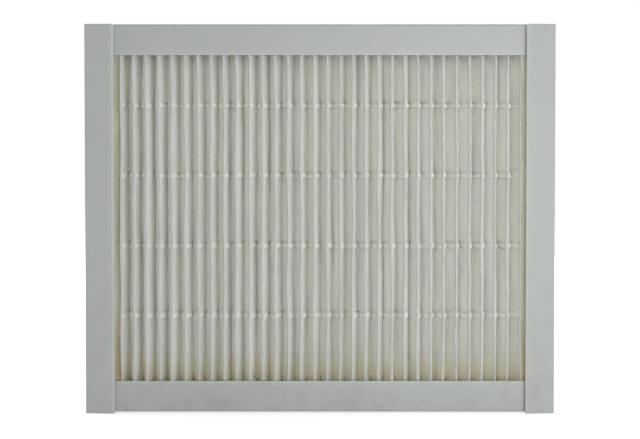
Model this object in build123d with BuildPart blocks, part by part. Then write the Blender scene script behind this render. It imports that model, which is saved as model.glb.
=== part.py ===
"""Pleated panel air filter: a folded media pack potted into a frame of four plastic channels.

Units are millimetres. +X is the panel's width, +Y runs from the front face to the back face, +Z is up.
The origin is on the ground, under the middle of the panel, which stands on its side channels.
"""

from build123d import *
import os
from math import acos, atan2, cos, hypot, sin, tan

# Frame: two rails (top and bottom) whose ends sit inside two side channels (left and right).
panel_width = 300.0  # over the webs of the side channels
rail_spread = 247.6  # over the webs of the two rails
rail_depth = 25.0  # over the flanges of a rail, front to back
wall = 1.3  # wall of both channel sections
rail_flange = 19.7  # over a rail's web and flange
side_flange = 18.8  # over a side channel's web and flange
flange_splay = 1.7  # how far each free edge of a side channel has sprung away from the rails
side_slip = 0.1  # between a rail's flange and the side channel that laps over it
rail_end_gap = 0.4  # between a rail's sawn end and the web of the side channel
lower_overhang = 1.0  # the side channels stand this far below the bottom rail
upper_overhang = 0.1  # and this far above the top rail
corner_radius = 1.0  # outer corners of both channel sections
lip_radius = 0.5  # free edges of the flanges
saw_easing = 0.9  # corners of a side channel's flanges at its sawn ends

# Media pack: one sheet, folded to and fro. Each fold is a sharp crease inside and round outside.
nominal_pitch = 8.2  # from one front fold to the next, before the pack is spread to fill the frame
media_thickness = 0.55
fold_lean = 0.3  # the back folds lie this far to -X of midway between the front folds
pack_slip = 0.1  # between the folds and the inside of the rails' flanges
pack_end_gap = 0.7  # between the sheet's ends and the webs of the side channels

# Adhesive: spacer beads across the pleats, beds in the rails, and a seal in each side channel.
bead_rows = 4
bead_spacing = 45.2
bead_rise = 5.1  # the rows' middle lies this far above the middle of the opening
bead_height = 3.8
bead_setback = 2.0  # the mouth of a bead lies this far behind the tips of the folds
bead_hollow = 0.35  # how far the mouth is drawn in between the flanks
bed_depth = 3.0

# Levels, from the ground up.
rail_bottom = lower_overhang
rail_top = rail_bottom + rail_spread
side_top = rail_top + upper_overhang
media_bottom = rail_bottom + wall + bed_depth
media_top = rail_top - wall - bed_depth
row_middle = (rail_bottom + rail_top) / 2 + bead_rise
row_heights = [row_middle + (bead_rows / 2 - 0.5 - row) * bead_spacing for row in range(bead_rows)]

# Plan of the frame.
side_web_inside = panel_width / 2 - wall
rail_length = 2 * (side_web_inside - rail_end_gap)
rail_inside_depth = rail_depth - 2 * wall
side_depth = rail_depth + 2 * (side_slip + wall)

# Plan of the pack. A fold's place is that of its crease, and a flank runs from one crease to the next.
pack_depth = rail_inside_depth - 2 * pack_slip
pack_width = 2 * (side_web_inside - pack_end_gap)
pleats = round(pack_width / nominal_pitch)
pitch = pack_width / pleats
crease_y = pack_depth / 2 - media_thickness  # of the back folds; the front folds lie at its negative
front_folds = [fold_lean + (fold - (pleats - 1) / 2) * pitch for fold in range(pleats)]
back_folds = [(fold - pleats / 2) * pitch for fold in range(pleats + 1)]


def flank_angle(run):
    """Slope off the Y axis of a flank whose two creases lie a run apart along X."""
    rise = 2 * crease_y
    return acos(media_thickness / hypot(run, rise)) - atan2(rise, run)


right_angle = flank_angle(pitch / 2 - fold_lean)  # of the flank to the right of a front fold
left_angle = flank_angle(pitch / 2 + fold_lean)  # of the flank to its left


def crease(x, side):
    """Inside corner of the fold at x; side is -1 at the front and 1 at the back."""
    return (x, side * crease_y)


def ridge(x, side):
    """Outside corner of the fold at x, before it is rounded."""
    reach = media_thickness / sin((right_angle + left_angle) / 2)
    turn = (right_angle - left_angle) / 2
    return (x + side * reach * sin(turn), side * (crease_y + reach * cos(turn)))


def channel_section(flange, depth, splay):
    """A channel's section, its web along local Y at X = 0 and its flanges towards local +X."""
    outside = depth / 2
    inside = outside - wall
    with BuildSketch(mode=Mode.PRIVATE) as section:
        with BuildLine():
            Polyline((0, 0), (0, outside), (flange, outside + splay), (flange, inside + splay))
            Polyline((flange, inside + splay), (wall, inside), (wall, 0))
            mirror(about=Plane.XZ)
        make_face()
        fillet(section.vertices().group_by(Axis.X)[0], corner_radius)
        fillet(section.vertices().group_by(Axis.X)[-1], lip_radius)
    return section.sketch


def spacer_section(creases, side, to_left, to_right):
    """Wedges of adhesive, in plan, from each of these creases to the mouth of its valley on a side."""
    mouth_y = side * (pack_depth / 2 - bead_setback)
    length = crease_y + side * mouth_y
    with BuildSketch(mode=Mode.PRIVATE) as section:
        for x in creases:
            left = (x - length * tan(to_left), mouth_y)
            right = (x + length * tan(to_right), mouth_y)
            drawn_in = ((left[0] + right[0]) / 2, mouth_y - side * bead_hollow)
            with BuildLine():
                Polyline(left, crease(x, -side), right)
                ThreePointArc(right, drawn_in, left)
            make_face()
    return section.sketch


def seal_section(x, angle, hand):
    """Adhesive, in plan, between the sheet's end at x and the web beside it; hand is -1 on the left."""
    web = hand * side_web_inside
    with BuildSketch(mode=Mode.PRIVATE) as section:
        with BuildLine():
            flank = (x - hand * 2 * crease_y * tan(angle), -crease_y)
            Polyline((web, -crease_y), flank, crease(x, 1), (web, crease_y), close=True)
        make_face()
    return section.sketch


def save(piece, name):
    """Labels a finished piece and writes it to its own file."""
    piece.part.label = name
    export_step(piece.part, f"parts/{name}.step")


os.makedirs("parts", exist_ok=True)

# The two rails, opening towards each other. Each holds a bed of adhesive in its channel.
rails = {
    "bottom": Plane(origin=(0, 0, rail_bottom), x_dir=(0, 0, 1), z_dir=(-1, 0, 0)),
    "top": Plane(origin=(0, 0, rail_top), x_dir=(0, 0, -1), z_dir=(1, 0, 0)),
}
for place, plane in rails.items():
    with BuildPart() as rail:
        with BuildSketch(plane):
            add(channel_section(rail_flange, rail_depth, 0))
        extrude(amount=rail_length / 2, both=True)
    save(rail, f"{place}_channel")

    with BuildPart() as bed:
        with BuildSketch(plane):
            with Locations((wall + bed_depth / 2, 0)):
                Rectangle(bed_depth, rail_inside_depth)
        extrude(amount=rail_length / 2, both=True)
    save(bed, f"{place}_potting")

# The two side channels, lapped over the rails' ends, with their flanges' corners eased at each end.
sides = {
    "left": Plane(origin=(-panel_width / 2, 0, 0), x_dir=(1, 0, 0), z_dir=(0, 0, 1)),
    "right": Plane(origin=(panel_width / 2, 0, 0), x_dir=(-1, 0, 0), z_dir=(0, 0, 1)),
}
for place, plane in sides.items():
    with BuildPart() as side_channel:
        with BuildSketch(plane):
            add(channel_section(side_flange, side_depth, flange_splay))
        extrude(amount=side_top)
        middle = plane.offset(side_top / 2)
        with BuildSketch(Plane(origin=middle.origin, x_dir=plane.x_dir, z_dir=plane.y_dir)) as outline:
            Rectangle(side_flange, side_top, align=(Align.MIN, Align.CENTER))
            fillet(outline.vertices().group_by(Axis.X)[-1], saw_easing)
        extrude(amount=side_depth, both=True, mode=Mode.INTERSECT)
    save(side_channel, f"{place}_channel")

# The folded sheet. Its ends are trimmed level with the creases of the back folds.
inner_folds = back_folds[1:-1]
front_face = [crease(back_folds[0], 1), ridge(front_folds[0], -1)]
back_face = [(back_folds[0] + media_thickness / cos(left_angle), crease_y), crease(front_folds[0], -1)]
for back, front in zip(inner_folds, front_folds[1:]):
    front_face += [crease(back, 1), ridge(front, -1)]
    back_face += [ridge(back, 1), crease(front, -1)]
front_face += [crease(back_folds[-1], 1)]
back_face += [(back_folds[-1] - media_thickness / cos(right_angle), crease_y)]

with BuildPart() as filter_media:
    with BuildSketch(Plane.XY.offset(media_bottom)) as sheet:
        with BuildLine():
            Polyline(*front_face, *reversed(back_face), close=True)
        make_face()
        fillet(sheet.vertices().group_by(Axis.Y)[0], media_thickness)
        fillet(sheet.vertices().group_by(Axis.Y)[-1], media_thickness)
    extrude(amount=media_top - media_bottom)
save(filter_media, "filter_media")

# The seals between the sheet's ends and the side channels' webs.
seals = {
    "left": seal_section(back_folds[0], left_angle, -1),
    "right": seal_section(back_folds[-1], right_angle, 1),
}
for place, section in seals.items():
    with BuildPart() as seal:
        with BuildSketch(Plane.XY.offset(media_bottom)):
            add(section)
        extrude(amount=media_top - media_bottom)
    save(seal, f"{place}_seal")

# The spacer beads, in rows counted from the top, on both sides of the pack.
spacers = {
    "front": spacer_section(inner_folds, -1, right_angle, left_angle),
    "back": spacer_section(front_folds, 1, left_angle, right_angle),
}
for side, section in spacers.items():
    for row, height in enumerate(row_heights, start=1):
        with BuildPart() as bead:
            with BuildSketch(Plane.XY.offset(height - bead_height / 2)):
                add(section)
            extrude(amount=bead_height)
        save(bead, f"{side}_bead_{row}")
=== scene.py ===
"""Pleated panel filter: folded sheet, glue beads, finishes and a plain stage, around the frame model."""

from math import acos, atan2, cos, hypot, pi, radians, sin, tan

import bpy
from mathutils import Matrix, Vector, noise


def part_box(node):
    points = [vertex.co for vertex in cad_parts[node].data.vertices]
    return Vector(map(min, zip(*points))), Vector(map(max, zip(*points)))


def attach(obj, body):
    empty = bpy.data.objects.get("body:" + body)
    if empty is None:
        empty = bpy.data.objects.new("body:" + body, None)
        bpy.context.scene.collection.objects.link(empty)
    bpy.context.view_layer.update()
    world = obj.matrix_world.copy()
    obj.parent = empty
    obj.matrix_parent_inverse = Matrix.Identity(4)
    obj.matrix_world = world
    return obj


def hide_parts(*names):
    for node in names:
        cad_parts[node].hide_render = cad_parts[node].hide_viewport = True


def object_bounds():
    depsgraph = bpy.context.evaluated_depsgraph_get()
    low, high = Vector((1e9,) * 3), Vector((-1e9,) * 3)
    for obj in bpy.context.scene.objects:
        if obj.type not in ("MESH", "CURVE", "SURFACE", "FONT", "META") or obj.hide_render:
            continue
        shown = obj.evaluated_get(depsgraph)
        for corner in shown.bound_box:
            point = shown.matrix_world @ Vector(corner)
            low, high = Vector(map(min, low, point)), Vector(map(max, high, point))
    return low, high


bl_info = {
    "name": "Pleated Panel Filter",
    "version": (1, 0, 0),
    "blender": (4, 5, 0),
    "location": "View3D > Sidebar > Panel Filter",
    "description": "Models a pleated filter sheet with its spacer beads inside a channel frame",
    "category": "Add Mesh",
}

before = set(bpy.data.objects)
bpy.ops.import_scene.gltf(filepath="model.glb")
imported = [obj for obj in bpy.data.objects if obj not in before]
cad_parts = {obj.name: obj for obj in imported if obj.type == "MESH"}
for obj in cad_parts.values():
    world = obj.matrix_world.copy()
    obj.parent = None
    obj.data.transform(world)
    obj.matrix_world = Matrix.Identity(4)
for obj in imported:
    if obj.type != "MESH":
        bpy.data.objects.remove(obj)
CAD_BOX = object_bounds()

MM = 0.001
SMOOTH_ANGLE = radians(50)  # shading is smooth across edges flatter than this
TOUCHING = 0.01 * MM  # points nearer than this are one point

# The folded sheet.
FOLD_ROUNDNESS = 0.56  # radius of a fold's middle line, as a share of the sheet's thickness
FLANK_STEPS, TURN_STEPS = 4, 6
HELD_PLEATS = 2  # the folds this near the pack's ends are held ever tighter
EVEN_GAIN, RIPPLE_GAIN = 1.6, 1.8  # bring the noise up to the settings' sizes
EVEN_GRAIN, RIPPLE_GRAIN = 1.3, 1.7  # how fast the noise changes from one fold to the next
RIPPLE_LENGTH = 38 * MM
EVEN_OFFSET, EVEN_LEVEL, RIPPLE_OFFSET = 7.1, 0.4, 3.3  # set the noise of the two faces apart

# The glue beads.
BEAD_ROWS = (1, 2, 3, 4)
# Places up a bead, as shares of its height, and how much of its thickness it has there. It ends short
# below and runs out above.
BEAD_PROFILE = (
    (0.0, 0.18), (0.07, 0.5), (0.2, 0.85), (0.4, 1.0),
    (0.6, 0.78), (0.8, 0.42), (0.94, 0.22), (1.0, 0.15),
)
BEAD_SHARES = (1.0, 0.8, 0.55, 0.3, 0.1)  # places from a bead's mouth down to where its sides meet
THINNEST_GLUE = 0.12 * MM
GLUE_GAIN = 3  # how fast a bead thickens inwards from its mouth
GLUE_SHARE = 0.42  # how much of a bead's tone is the glue's own

# The runs of glue beside the side channels.
RUN_CLEARANCE = 3.2 * MM  # from the pack's top and bottom edges
RUN_DEPTH = 2.5 * MM
RUN_HOLLOW, RUN_HOLLOW_STEPS = 1.0 * MM, 6
RUN_STEPS = 48
LUMP_HEIGHT, LUMP_WIDTH, LUMP_REACH = 17 * MM, 4 * MM, 0.7 * MM
INSIDE = 0.1 * MM  # margin that tells a run's open face from its edges
# For each run: how much paler it is painted than its colour, the right run lifted as painted light against
# the flange's shadow, and where its noise starts.
RUNS = {"left": (1.0, 2.5), "right": (1.3, 8.5)}

# Finishes.
ROLLED_LIPS = ("left",)
# How much paler or darker each length of plastic is painted, as painted light and shade that evens out how
# the lamps light the frame.
PAINTED_LIGHT_TONE = {"top": 1.01, "bottom": 1.0, "left": 1.07, "right": 0.955}
HIDDEN_GLUE = ("top_potting", "bottom_potting", "left_seal", "right_seal")
# The colour the pack is multiplied by in its painted warm shade.
PAINTED_WARM_SHADE = (1.0, 0.91, 0.76)
# Painted warm shade where the pack runs in behind the side channels and down by the bottom rail: the axis,
# and the places where the painted shade is full and where it has gone.
PAINTED_SHADE_PLACES = (("X", -0.1435, -0.124), ("X", 0.1435, 0.124), ("Z", 0.008, 0.042))
GRIME_TOP = 0.11

# The stage: each lamp's place, width and height, and the setting that holds its power.
LAMPS = {
    "key_lamp": ((0.26, -0.53, 0.17), 0.36, 0.3, "key_power"),
    "front_lamp": ((0.12, -1.6, 0.12), 0.9, 0.25, "front_power"),
    "back_lamp": ((0.45, 1.5, 0.6), 1.0, 1.0, "back_power"),
    "left_lamp": ((-1.3, 0.35, 0.7), 0.6, 0.6, "side_power"),
    "right_lamp": ((1.3, 0.35, 0.7), 0.6, 0.6, "side_power"),
}
FLOOR_SIZE, FLOOR_TONE = 8, 0.75
GLOW_NEAR, GLOW_FAR = 0.25, 1.2  # the floor's glow grows between these distances from its middle
GLOW_LOW = 0.63
SENSOR_WIDTH = 36


# ---------------------------------------------------------------- settings


class SheetSettings(bpy.types.PropertyGroup):
    """Sizes of the folded sheet."""

    pitch: bpy.props.FloatProperty(
        name="Pitch", description="Rough distance from one front fold to the next",
        default=8.2 * MM, unit="LENGTH")
    thickness: bpy.props.FloatProperty(
        name="Thickness", description="Thickness of the sheet", default=0.48 * MM, unit="LENGTH")
    lean: bpy.props.FloatProperty(
        name="Lean", description="How far the back folds lie left of midway between the front folds",
        default=0.3 * MM, unit="LENGTH")
    spread: bpy.props.FloatProperty(
        name="Spread", description="How much wider apart the folds lie than an even spacing",
        default=0.005, min=0, max=0.02, subtype="FACTOR")
    wander: bpy.props.FloatProperty(
        name="Wander", description="How far a fold strays sideways from its even place",
        default=0.42 * MM, unit="LENGTH")
    ripple: bpy.props.FloatProperty(
        name="Ripple", description="How far a fold waves sideways between the rows of glue",
        default=0.38 * MM, unit="LENGTH")
    # Painted shade: at the folds the sheet is given this darker colour, against the light the folds catch.
    colour: bpy.props.FloatVectorProperty(
        name="Colour", description="Colour of the sheet", subtype="COLOR", size=3, min=0, max=1,
        default=(0.63, 0.655, 0.63))
    # Painted light: deep between the folds the sheet is given this paler colour, standing in for light that
    # reaches there.
    painted_valley_colour: bpy.props.FloatVectorProperty(
        name="Depth Colour", description="Colour of the sheet deep between the folds",
        subtype="COLOR", size=3, min=0, max=1, default=(0.955, 0.975, 0.905))


class BeadSettings(bpy.types.PropertyGroup):
    """Sizes of the glue beads."""

    setback: bpy.props.FloatProperty(
        name="Setback", description="How far behind the folds a bead starts", default=2.0 * MM,
        unit="LENGTH")
    thickness: bpy.props.FloatProperty(
        name="Thickness", description="Thickness of the glue on a flank, at the bead's middle",
        default=1.1 * MM, unit="LENGTH")
    feather: bpy.props.FloatProperty(
        name="Feather", description="Share of its thickness that a bead keeps where it starts",
        default=0.15, min=0.05, max=1, subtype="FACTOR")
    side_setback: bpy.props.FloatProperty(
        name="Side Run Setback", description="How far behind the folds the glue beside a channel lies",
        default=2.6 * MM, unit="LENGTH")
    colour: bpy.props.FloatVectorProperty(
        name="Colour", description="Colour of the glue", subtype="COLOR", size=3, min=0, max=1,
        default=(0.97, 0.975, 0.93))
    # The glue is real, but its darker, browner colour than the beads' is painted shade for the shaded gap
    # beside a channel.
    side_colour: bpy.props.FloatVectorProperty(
        name="Side Run Colour", description="Colour of the glue beside a channel",
        subtype="COLOR", size=3, min=0, max=1, default=(0.72, 0.725, 0.60))


class ChannelSettings(bpy.types.PropertyGroup):
    """Finish of the plastic channels."""

    colour: bpy.props.FloatVectorProperty(
        name="Colour", description="Colour of the plastic", subtype="COLOR", size=3, min=0, max=1,
        default=(0.445, 0.468, 0.453))
    lip_width: bpy.props.FloatProperty(
        name="Lip Width", description="Width of the rolled lip along a flange's free edge",
        default=1.8 * MM, unit="LENGTH")
    lip_drop: bpy.props.FloatProperty(
        name="Lip Drop", description="How far the rolled lip falls away", default=0.6 * MM,
        unit="LENGTH")
    # Painted highlight: the plastic along each lip is painted paler, standing in for the light the rounded
    # lip catches.
    lip_highlight: bpy.props.FloatProperty(
        name="Lip Highlight", description="How much paler the plastic is where the lip is rubbed",
        default=0.1, min=0, max=1, subtype="FACTOR")
    lip_highlight_width: bpy.props.FloatProperty(
        name="Lip Highlight Width", description="How far from the lip the rubbed plastic reaches",
        default=5.5 * MM, unit="LENGTH")
    roughness: bpy.props.FloatProperty(
        name="Roughness", description="Roughness of the plastic", default=0.48, min=0, max=1,
        subtype="FACTOR")


class StageSettings(bpy.types.PropertyGroup):
    """Camera and lamps."""

    distance: bpy.props.FloatProperty(
        name="Distance", description="From the camera to the middle of the panel", default=1.05,
        unit="LENGTH")
    elevation: bpy.props.FloatProperty(
        name="Elevation", description="Height of the camera above level", default=radians(2.0),
        subtype="ANGLE")
    lens_width: bpy.props.FloatProperty(
        name="View Width", description="Width of the view at the panel's face", default=407.8 * MM,
        unit="LENGTH")
    key_power: bpy.props.FloatProperty(
        name="Key Lamp", description="Power of the near lamp at the right", default=1.31,
        unit="POWER")
    front_power: bpy.props.FloatProperty(
        name="Front Lamp", description="Power of the large lamp behind the camera", default=4.6,
        unit="POWER")
    back_power: bpy.props.FloatProperty(
        name="Back Lamp", description="Power of the large lamp behind the panel", default=17.0,
        unit="POWER")
    side_power: bpy.props.FloatProperty(
        name="Side Lamps", description="Power of each of the two lamps beside the panel",
        default=6.0, unit="POWER")
    daylight: bpy.props.FloatProperty(
        name="Daylight", description="Strength of the even light from all round",
        default=0.25, min=0)


# ---------------------------------------------------------------- the pack's plan


class Pack:
    """Where the folds lie, worked out from the frame's own sheet and the settings."""

    def __init__(self, sheet):
        low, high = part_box("filter_media")
        self.bottom, self.top = low[2], high[2]
        self.width = high[0] - low[0]
        self.depth = high[1] - low[1]
        self.middle_y = (high[1] + low[1]) / 2
        self.thickness = sheet.thickness
        self.pleats = round(self.width / sheet.pitch)
        self.pitch = self.width / self.pleats
        self.lean = sheet.lean
        self.spread = sheet.spread
        self.wander = sheet.wander
        self.ripple = sheet.ripple
        self.crease_y = self.depth / 2 - sheet.thickness
        self.turn = FOLD_ROUNDNESS * sheet.thickness
        self.right_angle = self.flank_angle(self.pitch / 2 - self.lean)
        self.left_angle = self.flank_angle(self.pitch / 2 + self.lean)
        self.first_front = self.lean - (self.pleats - 1) / 2 * self.pitch
        self.first_back = -self.width / 2

    def flank_angle(self, run):
        """Slope off the Y axis of a flank whose two creases lie a run apart along X."""
        rise = 2 * self.crease_y
        return acos(2 * self.turn / hypot(run, rise)) - atan2(rise, run)

    def stray(self, x, z, face):
        """How far a fold on one face strays sideways at this place; face is -1 at the front."""
        column = x / self.pitch
        even_place = Vector((column * EVEN_GRAIN, EVEN_OFFSET * face, EVEN_LEVEL))
        wave_place = Vector((column * RIPPLE_GRAIN, z / RIPPLE_LENGTH, RIPPLE_OFFSET * face))
        even = noise.noise(even_place) * self.wander * EVEN_GAIN
        wave = noise.noise(wave_place) * self.ripple * RIPPLE_GAIN
        return even + wave + self.spread * x

    def settle(self, mesh):
        """Moves a finished piece's points with the folds, so that pieces in touch stay in touch."""
        reach = self.width / 2
        for vertex in mesh.vertices:
            x, y, z = vertex.co
            share = min(1, max(0, (y - self.middle_y) / self.depth + 0.5))
            side = (1 - share) * self.stray(x, z, -1) + share * self.stray(x, z, 1)
            held = min(1, (reach - abs(x)) / (HELD_PLEATS * self.pitch)) if abs(x) < reach else 0
            vertex.co.x = x + side * held


# ---------------------------------------------------------------- modelling helpers


def deselect_all():
    """Leaves no object selected, so that an operator acts only on the next piece."""
    for obj in bpy.context.selected_objects:
        obj.select_set(False)


def make_active(obj):
    """Selects one object alone."""
    deselect_all()
    obj.select_set(True)
    bpy.context.view_layer.objects.active = obj


def apply_modifiers(obj):
    """Applies every modifier in turn."""
    make_active(obj)
    for modifier in list(obj.modifiers):
        bpy.ops.object.modifier_apply(modifier=modifier.name)


def coat(obj, material):
    """Gives a piece one finish in place of any it has."""
    obj.data.materials.clear()
    obj.data.materials.append(material)


def finish_piece(obj, name, material):
    """Names a piece, gives it its finish, and lets it ride on the panel."""
    obj.name = name
    obj.data.name = name
    coat(obj, material)
    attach(obj, "root")


def repeat_along(obj, name, pitch, count):
    """Adds copies of a piece side by side along X, and returns the modifier for further settings."""
    array = obj.modifiers.new(name, "ARRAY")
    array.use_relative_offset = False
    array.use_constant_offset = True
    array.constant_offset_displace = (pitch, 0, 0)
    array.count = count
    return array


def delete_points(mesh, test):
    """Deletes the points of the active mesh that pass a test of their place."""
    bpy.ops.object.mode_set(mode="EDIT")
    bpy.ops.mesh.select_mode(type="VERT")
    bpy.ops.mesh.select_all(action="DESELECT")
    bpy.ops.object.mode_set(mode="OBJECT")
    for vertex in mesh.vertices:
        vertex.select = test(vertex)
    bpy.ops.object.mode_set(mode="EDIT")
    bpy.ops.mesh.delete(type="VERT")
    bpy.ops.object.mode_set(mode="OBJECT")


def upright_edge(x, y, bottom, top, steps):
    """A new object in edit mode: one upright edge in several steps, all of it selected."""
    deselect_all()
    bpy.ops.mesh.primitive_plane_add(size=top - bottom, location=(0, 0, 0))
    obj = bpy.context.object
    delete_points(obj.data, lambda vertex: vertex.index > 1)
    for vertex, z in zip(obj.data.vertices, (bottom, top)):
        vertex.co = (x, y, z)
    bpy.ops.object.mode_set(mode="EDIT")
    bpy.ops.mesh.select_all(action="SELECT")
    bpy.ops.mesh.subdivide(number_cuts=steps - 1)
    return obj


def extrude_run(dx, dy, steps):
    """Extrudes the selected edge in a straight run."""
    for _ in range(steps):
        move = {"value": (dx / steps, dy / steps, 0)}
        bpy.ops.mesh.extrude_region_move(TRANSFORM_OT_translate=move)


def spin_round(x, y, angle, steps):
    """Spins the selected edge round an upright axis."""
    bpy.ops.mesh.spin(steps=steps, angle=angle, center=(x, y, 0), axis=(0, 0, 1))


def filled_run(name, plan, low, high, levels):
    """A filled outline in plan, raised in levels, each a share of the height."""
    deselect_all()
    bpy.ops.mesh.primitive_circle_add(vertices=len(plan), radius=0.01, fill_type="NGON")
    run = bpy.context.object
    run.name = name
    for vertex, (x, y) in zip(run.data.vertices, plan):
        vertex.co = (x, y, low)
    bpy.ops.object.mode_set(mode="EDIT")
    bpy.ops.mesh.select_all(action="SELECT")
    last = 0
    for level in levels:
        move = {"value": (0, 0, (level - last) * (high - low))}
        bpy.ops.mesh.extrude_region_move(TRANSFORM_OT_translate=move)
        last = level
    bpy.ops.object.mode_set(mode="OBJECT")
    return run


def face_outwards(obj, angle):
    """Turns every face outwards and smooths the shading up to an angle."""
    make_active(obj)
    bpy.ops.object.mode_set(mode="EDIT")
    bpy.ops.mesh.select_all(action="SELECT")
    bpy.ops.mesh.normals_make_consistent(inside=False)
    bpy.ops.object.mode_set(mode="OBJECT")
    bpy.ops.object.shade_smooth_by_angle(angle=angle)


# ---------------------------------------------------------------- finishes


class Finish:
    """A material under way: its node tree, its shader and its object coordinates."""

    def __init__(self, name, roughness, specular=0.5):
        self.material = bpy.data.materials.new(name)
        self.material.use_nodes = True
        self.tree = self.material.node_tree
        self.shader = self.tree.nodes["Principled BSDF"]
        self.shader.inputs["Roughness"].default_value = roughness
        self.shader.inputs["Specular IOR Level"].default_value = specular
        self.place = self.tree.nodes.new("ShaderNodeTexCoord").outputs["Object"]

    def stretch(self, scale):
        """Object coordinates, scaled along each axis."""
        node = self.tree.nodes.new("ShaderNodeMapping")
        node.inputs["Scale"].default_value = scale
        self.tree.links.new(self.place, node.inputs["Vector"])
        return node.outputs["Vector"]

    def axis(self, name, start, end):
        """Runs from 0 to 1 between two places along one axis."""
        split = self.tree.nodes.new("ShaderNodeSeparateXYZ")
        self.tree.links.new(self.place, split.inputs["Vector"])
        return self.share(split.outputs[name], start, end)

    def speckle(self, scale, detail=4.0, roughness=0.55, place=None):
        """A noise pattern, with this many grains to the metre."""
        node = self.tree.nodes.new("ShaderNodeTexNoise")
        node.inputs["Scale"].default_value = scale
        node.inputs["Detail"].default_value = detail
        node.inputs["Roughness"].default_value = roughness
        self.tree.links.new(place or self.place, node.inputs["Vector"])
        return node.outputs["Fac"]

    def share(self, factor, start, end):
        """Spreads the part of a factor between two values over 0 to 1."""
        node = self.tree.nodes.new("ShaderNodeMapRange")
        node.inputs["From Min"].default_value = start
        node.inputs["From Max"].default_value = end
        self.tree.links.new(factor, node.inputs["Value"])
        return node.outputs["Result"]

    def product(self, first, second):
        """Multiplies two factors."""
        node = self.tree.nodes.new("ShaderNodeMath")
        node.operation = "MULTIPLY"
        self.tree.links.new(first, node.inputs[0])
        self.tree.links.new(second, node.inputs[1])
        return node.outputs["Value"]

    def ramp(self, factor, *stops, curve="LINEAR"):
        """Turns a factor into colours; each stop is (position, colour)."""
        node = self.tree.nodes.new("ShaderNodeValToRGB")
        node.color_ramp.interpolation = curve
        elements = node.color_ramp.elements
        while len(elements) < len(stops):
            elements.new(0.5)
        while len(elements) > len(stops):
            elements.remove(elements[-1])
        for element, (position, colour) in zip(elements, stops):
            element.position = position
            element.color = (*colour, 1)
        self.tree.links.new(factor, node.inputs["Fac"])
        return node.outputs["Color"]

    def mix(self, first, second, factor, blend="MIX"):
        """Mixes two colours; the factor is a number or a socket."""
        node = self.tree.nodes.new("ShaderNodeMix")
        node.data_type = "RGBA"
        node.blend_type = blend
        if isinstance(factor, (int, float)):
            node.inputs["Factor"].default_value = factor
        else:
            self.tree.links.new(factor, node.inputs["Factor"])
        self.tree.links.new(first, node.inputs["A"])
        self.tree.links.new(second, node.inputs["B"])
        return node.outputs["Result"]

    def colour(self, socket):
        """Sets the colour of the surface."""
        self.tree.links.new(socket, self.shader.inputs["Base Color"])

    def bump(self, height, distance, strength=1.0):
        """Raises the surface by a pattern."""
        node = self.tree.nodes.new("ShaderNodeBump")
        node.inputs["Distance"].default_value = distance
        node.inputs["Strength"].default_value = strength
        self.tree.links.new(height, node.inputs["Height"])
        socket = self.shader.inputs["Normal"]
        if socket.is_linked:
            self.tree.links.new(socket.links[0].from_socket, node.inputs["Normal"])
        self.tree.links.new(node.outputs["Normal"], socket)


def shade(colour, factor):
    """A colour made darker or lighter."""
    return tuple(min(1, channel * factor) for channel in colour)


def grey(level):
    """A colour with all channels alike, to multiply a tone by."""
    return (level,) * 3


def painted_sheet_tone(finish, settings, pack):
    """The tone of the pack: painted greyer at the folds and paler between them, as painted shade and light,
    and darkened by a painted warm shade near the side channels and the bottom rail.
    """
    depth = finish.axis("Y", pack.middle_y - pack.depth / 2, pack.middle_y + pack.depth / 2)
    # Painted shade and light: the folds take the darker colour, the valleys the paler one.
    near, deep = settings.colour, settings.painted_valley_colour
    tone = finish.ramp(depth, (0.02, near), (0.12, deep), (0.88, deep), (0.98, near))
    # Painted warm shade, browner and darker where the pack runs in behind the channels and the bottom rail.
    for axis, shade_full, clear in PAINTED_SHADE_PLACES:
        warm_shade = finish.ramp(finish.axis(axis, shade_full, clear), (0.0, PAINTED_WARM_SHADE), (1.0, grey(1.0)))
        tone = finish.mix(tone, warm_shade, 1.0, "MULTIPLY")
    return tone


def sheet_finish(settings, pack):
    """Felted fibre sheet: soft clouds, a fine matted bump, and a tone painted paler between the folds as
    painted light.
    """
    finish = Finish("felted_sheet", 0.9, 0.2)
    tone = painted_sheet_tone(finish, settings, pack)
    clouds = finish.ramp(finish.speckle(140, detail=5), (0.3, grey(0.975)), (0.7, grey(1.0)))
    fibres = finish.speckle(1500, detail=6, place=finish.stretch((1, 1, 0.45)))
    matting = finish.ramp(fibres, (0.3, grey(0.96)), (0.65, grey(1.0)))
    finish.colour(finish.mix(finish.mix(tone, clouds, 1.0, "MULTIPLY"), matting, 1.0, "MULTIPLY"))
    finish.bump(fibres, 0.06 * MM, 0.6)
    finish.shader.inputs["Subsurface Weight"].default_value = 1.0
    finish.shader.inputs["Subsurface Radius"].default_value = (1.0, 0.95, 0.8)
    finish.shader.inputs["Subsurface Scale"].default_value = 2.0 * MM
    return finish.material


def bead_finish(sheet, colour, pack):
    """Thin hot melt over the felt: near the pack's own tone with its painted light and shade, a little
    glossier, with faint lumps.
    """
    finish = Finish("hot_melt_bead", 0.6, 0.2)
    lumps = finish.speckle(420, detail=3)
    glue = finish.ramp(lumps, (0.3, shade(colour, 0.97)), (0.7, shade(colour, 1.03)))
    finish.colour(finish.mix(painted_sheet_tone(finish, sheet, pack), glue, GLUE_SHARE))
    finish.bump(lumps, 0.12 * MM, 0.5)
    return finish.material


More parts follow.
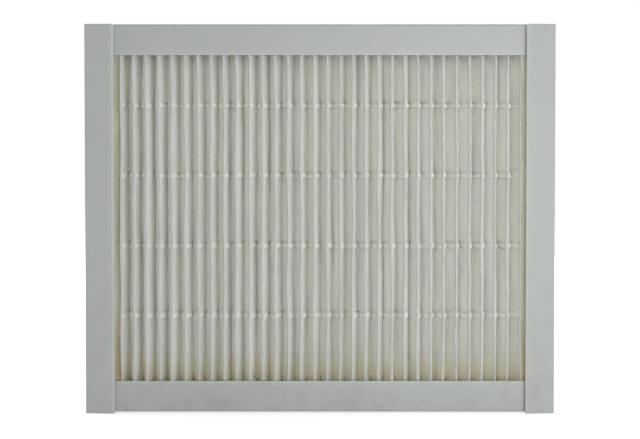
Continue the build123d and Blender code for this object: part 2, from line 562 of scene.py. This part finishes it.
def glue_finish(name, colour):
    """Set glue: smooth, slightly waxy, with faint lumps and stains, and a painted warm shade low down."""
    finish = Finish(name, 0.5, 0.4)
    lumps = finish.speckle(420, detail=3)
    stains = finish.ramp(finish.speckle(60, detail=4), (0.35, (0.93, 0.92, 0.86)), (0.65, grey(1.0)))
    glue = finish.ramp(lumps, (0.3, shade(colour, 0.97)), (0.7, shade(colour, 1.03)))
    # Painted shade: browner towards the bottom, where the glue lies in shade low in the frame.
    low_shade = finish.ramp(finish.axis("Z", 0.02, 0.075), (0.0, (0.95, 0.81, 0.66)), (1.0, grey(1.0)))
    finish.colour(finish.mix(finish.mix(glue, stains, 1.0, "MULTIPLY"), low_shade, 1.0, "MULTIPLY"))
    finish.bump(lumps, 0.12 * MM, 0.5)
    return finish.material


def channel_finish(settings, name, axis, lip, back):
    """Extruded plastic: satin, clouded, a little grimy low down, each length painted paler or darker as
    painted light and shade, and with a painted highlight along its lip.

    On the axis, lip is the place of the flange's free edge and back that of the channel's web."""
    finish = Finish(f"satin_plastic_{name}", settings.roughness, 0.4)
    clouds = finish.speckle(22, detail=4)
    # Each length's colour is scaled by its painted light and shade.
    plastic = shade(settings.colour, PAINTED_LIGHT_TONE[name])
    tone = finish.ramp(clouds, (0.3, shade(plastic, 0.98)), (0.7, shade(plastic, 1.02)))
    inward = 1 if back > lip else -1
    across = finish.axis(axis, lip, lip + inward * settings.lip_highlight_width)
    # Painted highlight along the lip, full at the edge and fading inwards.
    lip_highlight = settings.lip_highlight
    highlit, half_highlit = grey(1 + lip_highlight), grey(1 + 0.45 * lip_highlight)
    painted_lip_band = finish.ramp(across, (0.0, highlit), (0.16, highlit), (0.3, half_highlit), (1.0, grey(1.0)))
    patches = finish.share(finish.speckle(70, detail=6, roughness=0.65), 0.48, 0.68)
    grime = finish.product(patches, finish.axis("Z", GRIME_TOP, 0.0))
    red, green, blue = shade(plastic, 0.88)
    grimy = finish.mix(tone, finish.ramp(clouds, (0, (red, 0.985 * green, 0.93 * blue))), grime)
    finish.colour(finish.mix(grimy, painted_lip_band, 1.0, "MULTIPLY"))
    if name in ROLLED_LIPS:
        roll = finish.axis(axis, lip, lip + inward * settings.lip_width)
        finish.bump(finish.ramp(roll, (0, grey(0)), (1, grey(1)), curve="EASE"), settings.lip_drop)
    finish.bump(finish.speckle(9, detail=2), 1.2 * MM, 0.5)
    finish.bump(finish.speckle(900, detail=3), 0.02 * MM, 0.4)
    return finish.material


# ---------------------------------------------------------------- operators


class PANELFILTER_OT_sheet(bpy.types.Operator):
    """Folds the filter sheet: one pleat is spun and extruded, repeated and made a wall"""

    bl_idname = "panelfilter.sheet"
    bl_label = "Folded Sheet"

    levels: bpy.props.IntProperty(
        name="Levels", description="Steps up the height of a pleat", default=48)

    def execute(self, context):
        settings = context.scene.panel_filter_sheet
        pack = Pack(settings)
        turn, crease_y = pack.turn, pack.crease_y
        right, left = pack.right_angle, pack.left_angle
        bend = pi - right - left

        # Up the left flank to the first front fold, round it, back along the right flank and round.
        front_x, back_x = pack.first_front, pack.first_back
        root = Vector((back_x + turn * cos(left), crease_y + turn * sin(left)))
        near = Vector((front_x - turn * cos(left), -crease_y - turn * sin(left)))
        pleat = upright_edge(root.x, root.y, pack.bottom, pack.top, self.levels)
        extrude_run(near.x - root.x, near.y - root.y, FLANK_STEPS)
        spin_round(front_x, -crease_y, -bend, TURN_STEPS)
        far = Vector((front_x + turn * cos(right), -crease_y - turn * sin(right)))
        back_x += pack.pitch
        end_x, end_y = back_x - turn * cos(right), crease_y + turn * sin(right)
        extrude_run(end_x - far.x, end_y - far.y, FLANK_STEPS)
        spin_round(back_x, crease_y, bend, TURN_STEPS)
        bpy.ops.object.mode_set(mode="OBJECT")

        array = repeat_along(pleat, "pleats", pack.pitch, pack.pleats)
        array.use_merge_vertices = True
        array.merge_threshold = TOUCHING
        apply_modifiers(pleat)

        # The last back fold has no neighbour, so only the flank that leads to it stays.
        last = -pack.first_back - turn * cos(right)
        delete_points(pleat.data, lambda vertex: vertex.co.x > last + TOUCHING)

        pack.settle(pleat.data)
        wall = pleat.modifiers.new("wall", "SOLIDIFY")
        wall.thickness = settings.thickness
        wall.offset = 0
        wall.use_even_offset = True
        apply_modifiers(pleat)
        for vertex in pleat.data.vertices:
            vertex.co.z = min(pack.top, max(pack.bottom, vertex.co.z))
        face_outwards(pleat, SMOOTH_ANGLE)
        finish_piece(pleat, "folded_sheet", sheet_finish(settings, pack))
        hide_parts("filter_media")
        return {"FINISHED"}


class PANELFILTER_OT_beads(bpy.types.Operator):
    """Lays the rows of glue beads: a bead lines both flanks of a valley and fills it where they meet"""

    bl_idname = "panelfilter.beads"
    bl_label = "Glue Beads"

    def bead(self, pack, settings, low, high, side, x, to_left, to_right):
        """One bead: its plan raised in layers, drawn back to the flanks towards top and bottom."""
        deep_y = -side * pack.crease_y
        mouth = pack.crease_y + pack.depth / 2 - settings.setback
        left_slope, right_slope = tan(to_left), tan(to_right)

        def face(glue):
            """The open face of a layer with this much glue on each flank, from left mouth to right."""
            meet = 2 * glue / (left_slope + right_slope)
            left, right = [], []
            for share in BEAD_SHARES:
                reach = meet + (mouth - meet) * share
                thin = max(THINNEST_GLUE, glue * min(1, settings.feather + (1 - share) * GLUE_GAIN))
                left.append((x - reach * left_slope + thin, deep_y + side * reach))
                right.append((x + reach * right_slope - thin, deep_y + side * reach))
            middle = (x + meet * (right_slope - left_slope) / 2, deep_y + side * meet)
            return [*left, middle, *reversed(right)]

        walls = [(x + mouth * right_slope, deep_y + side * mouth), (x, deep_y),
                 (x - mouth * left_slope, deep_y + side * mouth)]
        plan = face(settings.thickness) + walls
        bead = filled_run("bead", plan, low, high, tuple(level for level, _ in BEAD_PROFILE[1:]))
        for index, vertex in enumerate(bead.data.vertices):
            layer, place = divmod(index, len(plan))
            if place < len(plan) - len(walls):
                vertex.co.x, vertex.co.y = face(settings.thickness * BEAD_PROFILE[layer][1])[place]
        return bead

    def side_run(self, pack, settings, name, x, to_left, to_right, start):
        """The run of glue that closes the last open valley beside a channel, a little hollow across."""
        deep_y = pack.crease_y
        mouth = pack.crease_y + pack.depth / 2 - settings.side_setback
        rear = mouth - RUN_DEPTH
        left, right = x - mouth * tan(to_left), x + mouth * tan(to_right)
        plan = []
        for step in range(RUN_HOLLOW_STEPS + 1):
            share = step / RUN_HOLLOW_STEPS
            sag = RUN_HOLLOW * (1 - (2 * share - 1) ** 2)
            plan.append((left + (right - left) * share, deep_y - mouth + sag))
        plan += [(x + rear * tan(to_right), deep_y - rear), (x - rear * tan(to_left), deep_y - rear)]
        low, high = pack.bottom + RUN_CLEARANCE, pack.top - RUN_CLEARANCE
        levels = tuple((step + 1) / RUN_STEPS for step in range(RUN_STEPS))
        run = filled_run(name, plan, low, high, levels)
        for vertex in run.data.vertices:
            place = Vector((start, vertex.co.z / LUMP_HEIGHT, vertex.co.x / LUMP_WIDTH))
            in_face = left + INSIDE < vertex.co.x < right - INSIDE
            if vertex.co.y < deep_y - rear - INSIDE and in_face:
                vertex.co.y += LUMP_REACH * noise.noise(place)
        return run

    def execute(self, context):
        settings = context.scene.panel_filter_beads
        pack = Pack(context.scene.panel_filter_sheet)
        material = bead_finish(context.scene.panel_filter_sheet, settings.colour, pack)
        faces = {
            "front": (
                -1, pack.first_back + pack.pitch, pack.pleats - 1, pack.right_angle, pack.left_angle),
            "back": (1, pack.first_front, pack.pleats, pack.left_angle, pack.right_angle),
        }
        for face, (side, first, count, to_left, to_right) in faces.items():
            for row in BEAD_ROWS:
                node = f"{face}_bead_{row}"
                low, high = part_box(node)[0][2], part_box(node)[1][2]
                bead = self.bead(pack, settings, low, high, side, first, to_left, to_right)
                face_outwards(bead, SMOOTH_ANGLE)
                repeat_along(bead, "row", pack.pitch, count)
                apply_modifiers(bead)
                pack.settle(bead.data)
                finish_piece(bead, f"glue_{face}_{row}", material)
                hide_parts(node)

        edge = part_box("right_channel")[0][0]
        column = round((edge - pack.first_back) / pack.pitch)
        valleys = {"left": pack.pleats - column, "right": column}
        for name, (paler, start) in RUNS.items():
            x = pack.first_back + valleys[name] * pack.pitch
            # Each run's glue is painted dark as shade, the right one lifted paler as painted light.
            shaded_side_glue = glue_finish(f"stained_glue_{name}", shade(settings.side_colour, paler))
            run = self.side_run(
                pack, settings, name, x, pack.right_angle, pack.left_angle, start)
            pack.settle(run.data)
            face_outwards(run, SMOOTH_ANGLE)
            finish_piece(run, f"side_glue_{name}", shaded_side_glue)
        return {"FINISHED"}


class PANELFILTER_OT_channels(bpy.types.Operator):
    """Gives the frame's channels their satin plastic finish"""

    bl_idname = "panelfilter.channels"
    bl_label = "Channel Finish"

    def execute(self, context):
        settings = context.scene.panel_filter_channels
        # Where each channel's lip lies: the axis, and whether at the high end of its box.
        lips = {"top": ("Z", False), "bottom": ("Z", True), "left": ("X", True), "right": ("X", False)}
        for name, (axis, at_high) in lips.items():
            low, high = (corner["XYZ".index(axis)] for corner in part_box(f"{name}_channel"))
            lip, back = (high, low) if at_high else (low, high)
            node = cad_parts[f"{name}_channel"]
            coat(node, channel_finish(settings, name, axis, lip, back))
        return {"FINISHED"}


class PANELFILTER_OT_potting(bpy.types.Operator):
    """Gives the beds and seals inside the channels their glue finish"""

    bl_idname = "panelfilter.potting"
    bl_label = "Potting Finish"

    def execute(self, context):
        material = glue_finish("potting_glue", context.scene.panel_filter_beads.colour)
        for name in HIDDEN_GLUE:
            coat(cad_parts[name], material)
        return {"FINISHED"}


class PANELFILTER_OT_stage(bpy.types.Operator):
    """Sets out the floor, the lamps, the daylight and the camera"""

    bl_idname = "panelfilter.stage"
    bl_label = "Stage"

    def seen(self, tree):
        """1 where the surroundings are seen, also mirrored or through glass, and 0 where they give light."""
        path = tree.nodes.new("ShaderNodeLightPath")
        socket = path.outputs["Is Camera Ray"]
        for name in ("Is Glossy Ray", "Is Transmission Ray"):
            larger = tree.nodes.new("ShaderNodeMath")
            larger.operation = "MAXIMUM"
            tree.links.new(socket, larger.inputs[0])
            tree.links.new(path.outputs[name], larger.inputs[1])
            socket = larger.outputs["Value"]
        return socket

    def floor(self):
        """A wide pale floor that keeps the panel's shadow."""
        deselect_all()
        bpy.ops.mesh.primitive_plane_add(size=FLOOR_SIZE, location=(0, 0, 0))
        floor = bpy.context.object
        floor.name = "floor"
        material = bpy.data.materials.new("pale_floor")
        material.use_nodes = True
        tree = material.node_tree
        shader = tree.nodes["Principled BSDF"]
        shader.inputs["Base Color"].default_value = (*grey(FLOOR_TONE), 1)
        shader.inputs["Roughness"].default_value = 0.9
        shader.inputs["Emission Color"].default_value = (1, 1, 1, 1)
        place = tree.nodes.new("ShaderNodeTexCoord")
        reach = tree.nodes.new("ShaderNodeVectorMath")
        reach.operation = "LENGTH"
        spread = tree.nodes.new("ShaderNodeMapRange")
        spread.inputs["From Min"].default_value = GLOW_NEAR
        spread.inputs["From Max"].default_value = GLOW_FAR
        spread.inputs["To Min"].default_value = GLOW_LOW
        spread.inputs["To Max"].default_value = 1.0
        glow = tree.nodes.new("ShaderNodeMath")
        glow.operation = "MULTIPLY"
        tree.links.new(place.outputs["Object"], reach.inputs[0])
        tree.links.new(reach.outputs["Value"], spread.inputs["Value"])
        tree.links.new(self.seen(tree), glow.inputs[0])
        tree.links.new(spread.outputs["Result"], glow.inputs[1])
        tree.links.new(glow.outputs[0], shader.inputs["Emission Strength"])
        floor.data.materials.append(material)

    def daylight(self, strength):
        """Even light all round, seen as white."""
        world = bpy.data.worlds.new("daylight")
        bpy.context.scene.world = world
        world.use_nodes = True
        tree = world.node_tree
        background = tree.nodes["Background"]
        background.inputs["Color"].default_value = (1, 1, 1, 1)
        level = tree.nodes.new("ShaderNodeMapRange")
        level.inputs["To Min"].default_value = strength
        level.inputs["To Max"].default_value = 1.0
        tree.links.new(self.seen(tree), level.inputs["Value"])
        tree.links.new(level.outputs["Result"], background.inputs["Strength"])

    def lamp(self, name, place, target, width, height, power):
        """A soft lamp that faces a point."""
        deselect_all()
        bpy.ops.object.light_add(type="AREA", location=place)
        lamp = bpy.context.object
        lamp.name = name
        lamp.data.shape = "RECTANGLE"
        lamp.data.size = width
        lamp.data.size_y = height
        lamp.data.energy = power
        lamp.rotation_euler = (target - Vector(place)).to_track_quat("-Z", "Y").to_euler()

    def camera(self, settings, target):
        """The camera, straight in front of the panel and a little above its middle."""
        back = settings.distance * cos(settings.elevation)
        rise = settings.distance * sin(settings.elevation)
        deselect_all()
        bpy.ops.object.camera_add(location=(target.x, target.y - back, target.z + rise))
        camera = bpy.context.object
        camera.name = "camera"
        camera.rotation_euler = (pi / 2 - settings.elevation, 0, 0)
        camera.data.sensor_width = SENSOR_WIDTH
        camera.data.lens = camera.data.sensor_width * settings.distance / settings.lens_width
        bpy.context.scene.camera = camera

    def execute(self, context):
        settings = context.scene.panel_filter_stage
        low, high = CAD_BOX
        middle = Vector(((low[0] + high[0]) / 2, low[1], (low[2] + high[2]) / 2))
        self.floor()
        self.daylight(settings.daylight)
        for name, (place, width, height, power) in LAMPS.items():
            self.lamp(name, place, middle, width, height, getattr(settings, power))
        self.camera(settings, middle)
        context.scene.view_settings.view_transform = "Standard"
        return {"FINISHED"}


class PANELFILTER_PT_panel(bpy.types.Panel):
    """The tools and sizes of the panel filter"""

    bl_idname = "PANELFILTER_PT_panel"
    bl_label = "Panel Filter"
    bl_space_type = "VIEW_3D"
    bl_region_type = "UI"
    bl_category = "Panel Filter"

    def draw(self, context):
        groups = (
            (PANELFILTER_OT_sheet, context.scene.panel_filter_sheet),
            (PANELFILTER_OT_beads, context.scene.panel_filter_beads),
            (PANELFILTER_OT_channels, context.scene.panel_filter_channels),
            (PANELFILTER_OT_potting, None),
            (PANELFILTER_OT_stage, context.scene.panel_filter_stage),
        )
        for operator, settings in groups:
            box = self.layout.box()
            box.operator(operator.bl_idname)
            if settings:
                for name in settings.bl_rna.properties.keys():
                    if name not in ("rna_type", "name"):
                        box.prop(settings, name)


CLASSES = (
    SheetSettings,
    BeadSettings,
    ChannelSettings,
    StageSettings,
    PANELFILTER_OT_sheet,
    PANELFILTER_OT_beads,
    PANELFILTER_OT_channels,
    PANELFILTER_OT_potting,
    PANELFILTER_OT_stage,
    PANELFILTER_PT_panel,
)


def register():
    for cls in CLASSES:
        bpy.utils.register_class(cls)
    bpy.types.Scene.panel_filter_sheet = bpy.props.PointerProperty(type=SheetSettings)
    bpy.types.Scene.panel_filter_beads = bpy.props.PointerProperty(type=BeadSettings)
    bpy.types.Scene.panel_filter_channels = bpy.props.PointerProperty(type=ChannelSettings)
    bpy.types.Scene.panel_filter_stage = bpy.props.PointerProperty(type=StageSettings)


def unregister():
    del bpy.types.Scene.panel_filter_stage
    del bpy.types.Scene.panel_filter_channels
    del bpy.types.Scene.panel_filter_beads
    del bpy.types.Scene.panel_filter_sheet
    for cls in reversed(CLASSES):
        bpy.utils.unregister_class(cls)


def main():
    register()
    bpy.ops.panelfilter.sheet()
    bpy.ops.panelfilter.beads()
    bpy.ops.panelfilter.channels()
    bpy.ops.panelfilter.potting()
    bpy.ops.panelfilter.stage()


if __name__ == "__main__":
    main()
